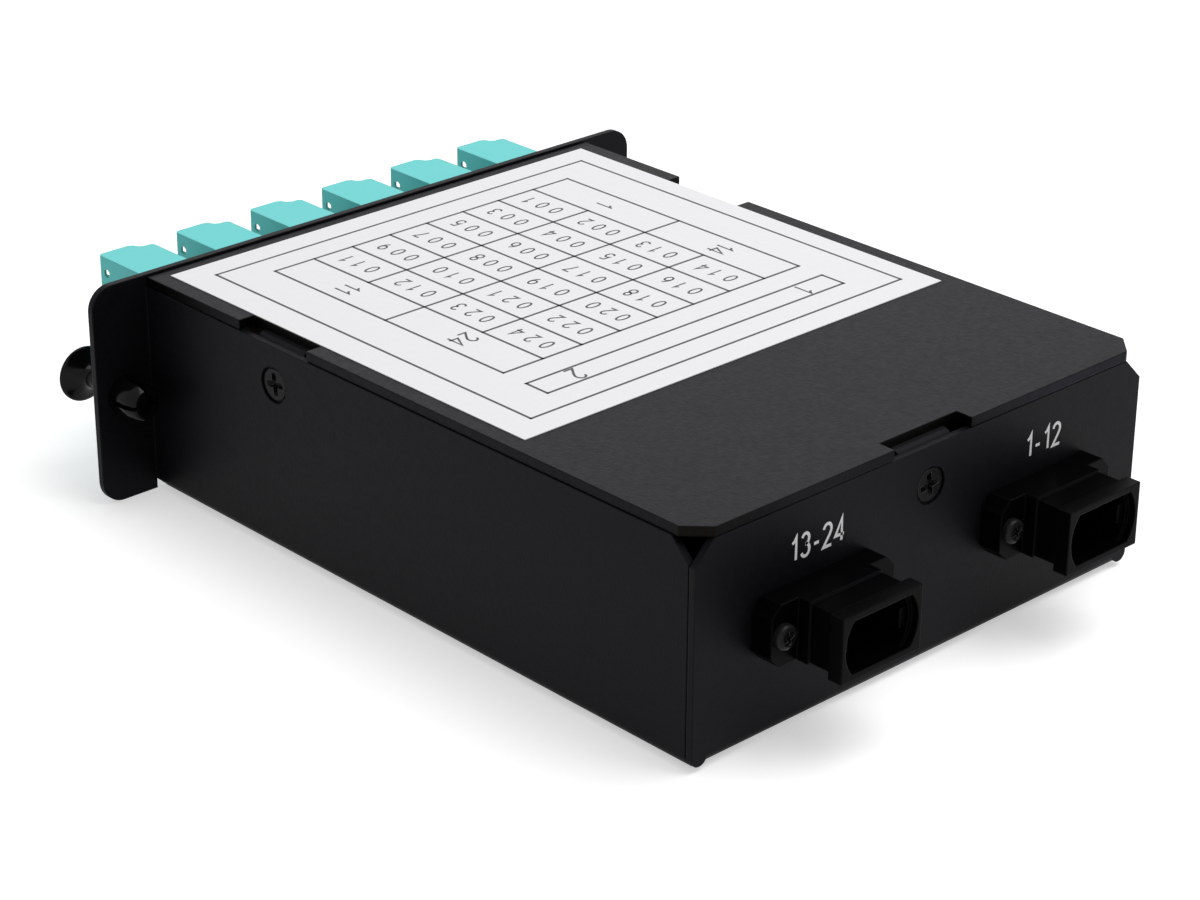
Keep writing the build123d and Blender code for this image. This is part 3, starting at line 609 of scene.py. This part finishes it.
def stroke_arc(x, y, wide, tall, start, end, steps=12):
    """Points on part of an oval, in the unit height of a figure."""
    angles = [math.radians(start + (end - start) * i / steps) for i in range(steps + 1)]
    return [(x + wide * math.cos(a), y + tall * math.sin(a)) for a in angles]


figures = {
    "0": [stroke_arc(0.27, 0.5, 0.23, 0.5, 90, 450, 28)],
    "1": [[(0.10, 0.76), (0.22, 0.84), (0.32, 1.0), (0.32, 0)]],
    "2": [stroke_arc(0.27, 0.74, 0.22, 0.26, 170, -20) + [(0.40, 0.50), (0.05, 0), (0.51, 0)]],
    "3": [stroke_arc(0.26, 0.76, 0.2, 0.24, 160, -90), stroke_arc(0.26, 0.27, 0.23, 0.27, 90, -160)],
    "4": [[(0.52, 0.27), (0.02, 0.27), (0.39, 1.0), (0.39, 0)]],
    "5": [[(0.48, 1.0), (0.13, 1.0), (0.08, 0.5)] + stroke_arc(0.26, 0.31, 0.23, 0.31, 120, -155)],
    "6": [stroke_arc(0.29, 0.3, 0.22, 0.3, 0, 360, 24), stroke_arc(0.5, 0.32, 0.43, 0.68, 118, 178)],
    "7": [[(0.03, 1.0), (0.5, 1.0), (0.3, 0.5), (0.2, 0)]],
    "8": [stroke_arc(0.27, 0.76, 0.19, 0.24, 0, 360, 24), stroke_arc(0.27, 0.26, 0.23, 0.26, 0, 360, 24)],
    "9": [stroke_arc(0.25, 0.7, 0.22, 0.3, 0, 360, 24), stroke_arc(0.04, 0.68, 0.43, 0.68, -62, -2)],
    "-": [[(0.05, 0.37), (0.32, 0.37)]],
}
figure_widths = {"1": 0.42, "-": 0.37}


def inked_stroke(path, weight):
    """A flat ribbon of even weight along a path, with mitred turns."""
    points = [Vector((*p, 0)) for p in path]
    closed = (points[0] - points[-1]).length < 1e-6
    left, right = [], []
    for i, point in enumerate(points):
        before = points[i] - points[i - 1] if i else (points[0] - points[-2] if closed else points[1] - points[0])
        after = points[i + 1] - points[i] if i < len(points) - 1 else (points[1] - points[0] if closed else before)
        before, after = before.normalized(), after.normalized()
        across = Vector((-(before + after).y, (before + after).x, 0)).normalized()
        reach = weight / 2 / max(0.35, across.dot(Vector((-after.y, after.x, 0))))
        left.append(point + across * reach)
        right.append(point - across * reach)
    count = len(points)
    faces = [[i, i + count, i + 1 + count, i + 1] for i in range(count - 1)]
    return left + right, faces


def printed_number(text, height, weight=0.1, spacing=0.14):
    """A number as mesh points and faces, centred, lying in X and Y. Weight and spacing are shares of its height."""
    points, faces, x = [], [], 0.0
    for character in text:
        for path in figures[character]:
            ribbon, ribbon_faces = inked_stroke([(px + x, py) for px, py in path], weight)
            first = len(points)
            points += ribbon
            faces += [[first + i for i in face] for face in ribbon_faces]
        x += figure_widths.get(character, 0.54) + spacing
    middle = Vector(((x - spacing) / 2, 0.5, 0))
    return [(p - middle) * height for p in points], faces


def number_print(name, entries, place_point, material):
    """One printed piece of many numbers: entries are (text, height, weight, spacing, centre)."""
    vertices, faces = [], []
    for text, height, weight, spacing, centre in entries:
        points, shapes = printed_number(text, height, weight, spacing)
        first = len(vertices)
        vertices += [tuple(place_point(p, centre)) for p in points]
        faces += [[first + i for i in shape] for shape in shapes]
    return flat_piece(name, vertices, faces, material)


def on_label(point, centre):
    """Numbers read along -Y with their tops towards +X."""
    return Vector((centre[0] + point.y, centre[1] - point.x, print_z))


def across_label(point, centre):
    """Numbers read along +X with their tops towards +Y."""
    return Vector((centre[0] + point.x, centre[1] + point.y, print_z))


cell_height, cell_weight, cell_spacing = 0.0026, 0.13, 0.7
entries = []
for pair in range(6):
    x = table_x0 + (1.5 + pair) * column
    for group in range(2):
        for place in range(2):
            value = 12 * group + 2 * pair + place + 1
            y = table_y0 + (2 * group + place + 0.5) * row
            entries.append((f"{value:03d}", cell_height, cell_weight, cell_spacing, (x, y)))
end_cells = [("1", table_x0, 1), ("14", table_x0, 3), ("11", table_x1 - column, 1), ("24", table_x1 - column, 3)]
end_height, strip_height, end_weight, end_spacing = 0.0033, 0.0035, 0.11, 0.16
end_entries = []
for text, x, rows in end_cells:
    centre = (x + column / 2, table_y0 + rows * row)
    end_entries.append((text, end_height, end_weight, end_spacing, centre))
for text, x in (("1", -0.0248), ("2", 0.0225)):
    end_entries.append((text, strip_height, end_weight, end_spacing, (x, on_plate(72.9))))
number_print("label_end_numbers", end_entries, across_label, ink)
number_print("label_numbers", entries, on_label, ink)


# Port ranges: white epoxy ink, screen printed on the rear wall above each MPO adapter.
# Each says which ports its trunk serves; the ink is baked on after the powder coat.
white_ink = grained_material(
    "white_ink", (0.8, 0.8, 0.8), {"Smooth": 0.45, "Rough": 0.6, "Dark": 0.93, "Light": 1.0}, bump=0.05
)
rear_wall_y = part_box("tray")[1][1] + print_lift


def on_rear_wall(point, centre):
    """Numbers read along -X, upright."""
    return Vector((centre[0] - point.x, rear_wall_y, centre[1] + point.y))


range_height, range_weight, range_spacing, range_z = 0.0034, 0.14, 0.17, 0.0267
ranges = []
for text, x in (("13-24", 0.0228), ("1-12", -0.0242)):
    ranges.append((text, range_height, range_weight, range_spacing, (x, range_z)))
number_print("rear_numbers", ranges, on_rear_wall, white_ink)


# Latches: moulded black nylon, one in each ear. A split grommet snaps into the ear's hole.
# A push-pull plunger slides in it by its dished knob, and its pin spreads the grommet's four prongs.
latch_nylon = grained_material(
    "latch_nylon",
    (0.002, 0.002, 0.0024),
    {"Fine Scale": 2000, "Smooth": 0.12, "Rough": 0.2, "Dark": 0.85, "Light": 1.15},
    bump=0.06,
    **{"Specular IOR Level": 0.13},
)
for name in like_nodes("grommet") + like_nodes("plunger"):
    dress(name, latch_nylon)


def turned_section(outline, start, end, steps):
    """A closed outline of (radius, distance) points turned about local Z from one angle to another, with flat ends."""
    vertices, faces = [], []
    count = len(outline)
    full = abs(end - start - 2 * math.pi) < 1e-6
    stops = steps if full else steps + 1
    for i in range(stops):
        angle = start + (end - start) * i / steps
        vertices += [(r * math.cos(angle), r * math.sin(angle), z) for r, z in outline]
    for i in range(steps):
        for k in range(count):
            a, b = i * count + k, i * count + (k + 1) % count
            c, d = (i + 1) % stops * count + (k + 1) % count, (i + 1) % stops * count + k
            faces.append([a, b, c, d])
    if not full:
        faces.append(list(range(count)))
        faces.append([steps * count + k for k in range(count)][::-1])
    return vertices, faces


flange_radius, flange_depth, barrel_radius, bore_radius = 0.0044, 0.0012, 0.003, 0.00155
ring_end, barrel_end, tip_end, tip_radius, half_slot = 0.0023, 0.0053, 0.0069, 0.0023, 0.0004
rim_radius, rim_depth, neck_radius, neck_depth, dish_depth = 0.0045, 0.0005, 0.0019, 0.0029, 0.0011
pin_clearance, flare_steps, flare_power, round_steps = 0.00005, 16, 1.9, 64
flange_outline = [
    (bore_radius, -flange_depth),
    (flange_radius - 0.00045, -flange_depth),
    (flange_radius - 0.00016, -flange_depth + 0.00014),
    (flange_radius, -flange_depth + 0.00045),
    (flange_radius, 0),
    (barrel_radius, 0),
    (barrel_radius, ring_end),
    (bore_radius, ring_end),
]
prong_outline = [
    (bore_radius, ring_end),
    (barrel_radius, ring_end),
    (barrel_radius, barrel_end - 0.0002),
    (barrel_radius - 0.00008, barrel_end),
    (tip_radius + 0.00015, tip_end - 0.00012),
    (tip_radius, tip_end),
    (bore_radius, tip_end),
]
for name in ("left", "right"):
    low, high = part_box("grommet_" + name)
    stand = upright_frame(Vector(((low.x + high.x) / 2, low.y + flange_depth, (low.z + high.z) / 2)), (0, 1, 0))
    parts = [(*turned_section(flange_outline, 0, 2 * math.pi, round_steps), stand)]
    for quarter in range(4):
        slot_angle = math.asin(half_slot / barrel_radius)
        start = quarter * math.pi / 2 + slot_angle
        end = start + math.pi / 2 - 2 * slot_angle
        parts.append((*turned_section(prong_outline, start, end, round_steps // 4), stand))
    grommet = placed_piece("split_grommet_" + name, parts, latch_nylon)
    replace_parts(grommet, "grommet_" + name)

    low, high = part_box("plunger_" + name)
    length = high.y - low.y
    pin_radius = bore_radius - pin_clearance
    flare = [i / flare_steps for i in range(1, flare_steps + 1)]
    knob_outline = [(0.0, dish_depth), (neck_radius, dish_depth)]
    knob_outline += [(rim_radius - 0.0005, 0.00006), (rim_radius - 0.00035, 0), (rim_radius - 0.00012, 0.00004)]
    knob_outline += [(rim_radius, 0.00016), (rim_radius, rim_depth - 0.0001), (rim_radius - 0.00006, rim_depth)]
    for i in flare:
        radius = pin_radius + (rim_radius - 0.00006 - pin_radius) * (1 - i) ** flare_power
        knob_outline.append((radius, rim_depth + (neck_depth - rim_depth) * i))
    knob_outline += [(pin_radius, length - 0.0003), (pin_radius - 0.0003, length), (0.0, length)]
    stand = upright_frame(Vector(((low.x + high.x) / 2, low.y, (low.z + high.z) / 2)), (0, 1, 0))
    knob = placed_piece(
        "push_pull_knob_" + name,
        [(*turned_section(knob_outline, 0, 2 * math.pi, round_steps), stand)],
        latch_nylon,
        body="plunger_" + name,
    )
    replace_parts(knob, "plunger_" + name)
